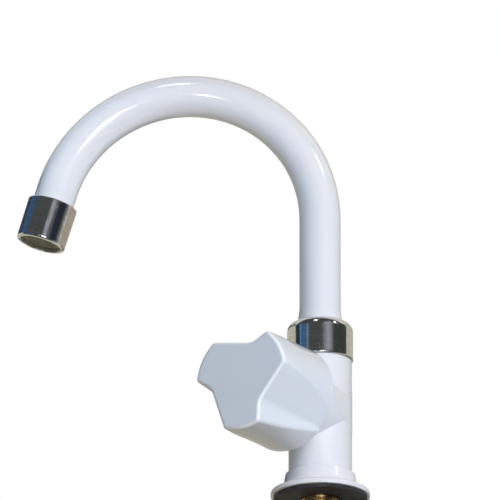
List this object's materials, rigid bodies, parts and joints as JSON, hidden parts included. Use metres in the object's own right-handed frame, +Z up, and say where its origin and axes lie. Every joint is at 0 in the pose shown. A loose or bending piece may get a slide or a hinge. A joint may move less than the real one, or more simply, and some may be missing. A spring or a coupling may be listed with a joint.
{
  "type": "swivel spout faucet",
  "caption": "White deck-mounted faucet with a swivel gooseneck spout, chromed collar and aerator housing, a three-lobed knob on a side valve boss, and a threaded shank with nut.",
  "frame": {"origin": "on the column's axis, in the deck plane where the gasket's underside rests", "axes": "+Z up along the column and the spout's riser; the spout points along -X at rest; the knob faces forward, 28.5 degrees from -Y towards -X"},
  "size_m": [0.1822, 0.1022, 0.2839],
  "materials": {
    "white_body": "glossy white",
    "white_enamel": "glossy white enamel",
    "white_knob": "satin moulded white",
    "chrome": "polished chrome",
    "brass": "turned brass",
    "black_rubber": "matt rubber",
    "white_nylon": "natural nylon",
    "grey_plastic": "dark moulded plastic",
    "steel_mesh": "woven wire",
    "spring_steel": "bright steel"
  },
  "bodies": {
    "tap_body": {"body_shell": "white_body", "base_escutcheon": "white_body", "deck_gasket": "black_rubber", "inlet_shank": "brass", "shank_washer": "white_nylon", "lock_nut": "brass", "valve_seat": "brass", "bonnet": "brass", "bonnet_gasket": "black_rubber", "slip_washer": "white_nylon", "gland_ring": "white_nylon", "collar_nut": "chrome"},
    "spout": {"spout_tube": "white_enamel", "spout_spigot": "brass", "spigot_o_ring_lower": "black_rubber", "spigot_o_ring_upper": "black_rubber", "outlet_nipple": "brass", "aerator_housing": "chrome", "aerator_washer": "black_rubber", "aerator_insert": "grey_plastic", "aerator_screen": "steel_mesh"},
    "handle": {"knob": "white_knob", "valve_stem": "brass", "stem_o_ring_inner": "black_rubber", "stem_o_ring_outer": "black_rubber", "stem_circlip": "spring_steel"},
    "piston": {"valve_piston": "brass", "seat_rubber": "black_rubber", "washer_screw": "spring_steel"}
  },
  "joints": [
    {"name": "spout_swivel", "type": "hinge", "parent": "tap_body", "child": "spout", "pos_m": [0, 0, 0.08895], "axis": [0, 0, 1], "continuous": true},
    {"name": "handle_turn", "type": "hinge", "parent": "tap_body", "child": "handle", "pos_m": [0, 0, 0.047], "axis": [-0.4772, -0.8788, 0], "range_deg": [0, 540]},
    {"name": "piston_slide", "type": "slide", "parent": "tap_body", "child": "piston", "axis": [-0.4772, -0.8788, 0], "range_m": [0, 0.00305]}
  ],
  "couplings": [
    {"joint": "piston_slide", "follows": "handle_turn", "m_per_rad": 0.00031831}
  ]
}
